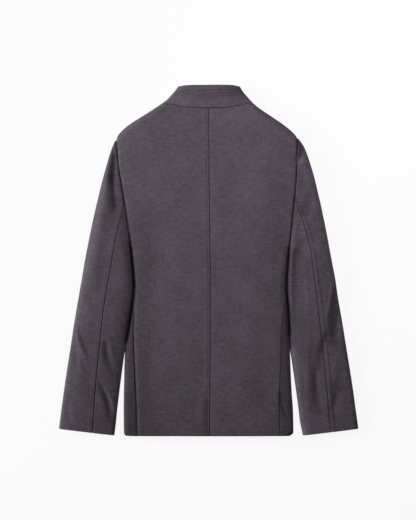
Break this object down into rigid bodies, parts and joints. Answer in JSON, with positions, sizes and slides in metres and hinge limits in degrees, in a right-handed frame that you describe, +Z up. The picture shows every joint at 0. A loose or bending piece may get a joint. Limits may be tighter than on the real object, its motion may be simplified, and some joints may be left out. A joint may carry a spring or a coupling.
{
  "type": "blazer",
  "caption": "Long-sleeved blazer with a stand collar, button front, centre back seam and two-piece sleeves, laid out flat face down.",
  "frame": {"origin": "centre of the underside's bounding box, on the surface that the garment lies on", "axes": "+Z up, +Y from hem to collar, +X to the wearer's right, seen from behind"},
  "size_m": [0.6739, 0.7904, 0.0319],
  "materials": {
    "cloth": "dark plum-grey wool, plain fine weave, matt with a faint nap",
    "button": "dark horn-look plastic, satin"
  },
  "bodies": {
    "root": {"back_left": "cloth", "back_right": "cloth", "side_left": "cloth", "side_right": "cloth", "front_left": "cloth", "front_right": "cloth", "sleeve_top_left": "cloth", "sleeve_top_right": "cloth", "sleeve_under_left": "cloth", "sleeve_under_right": "cloth", "collar_outer": "cloth", "collar_inner": "cloth", "button_1": "button", "button_2": "button", "button_3": "button", "button_4": "button", "button_5": "button"}
  },
  "joints": []
}
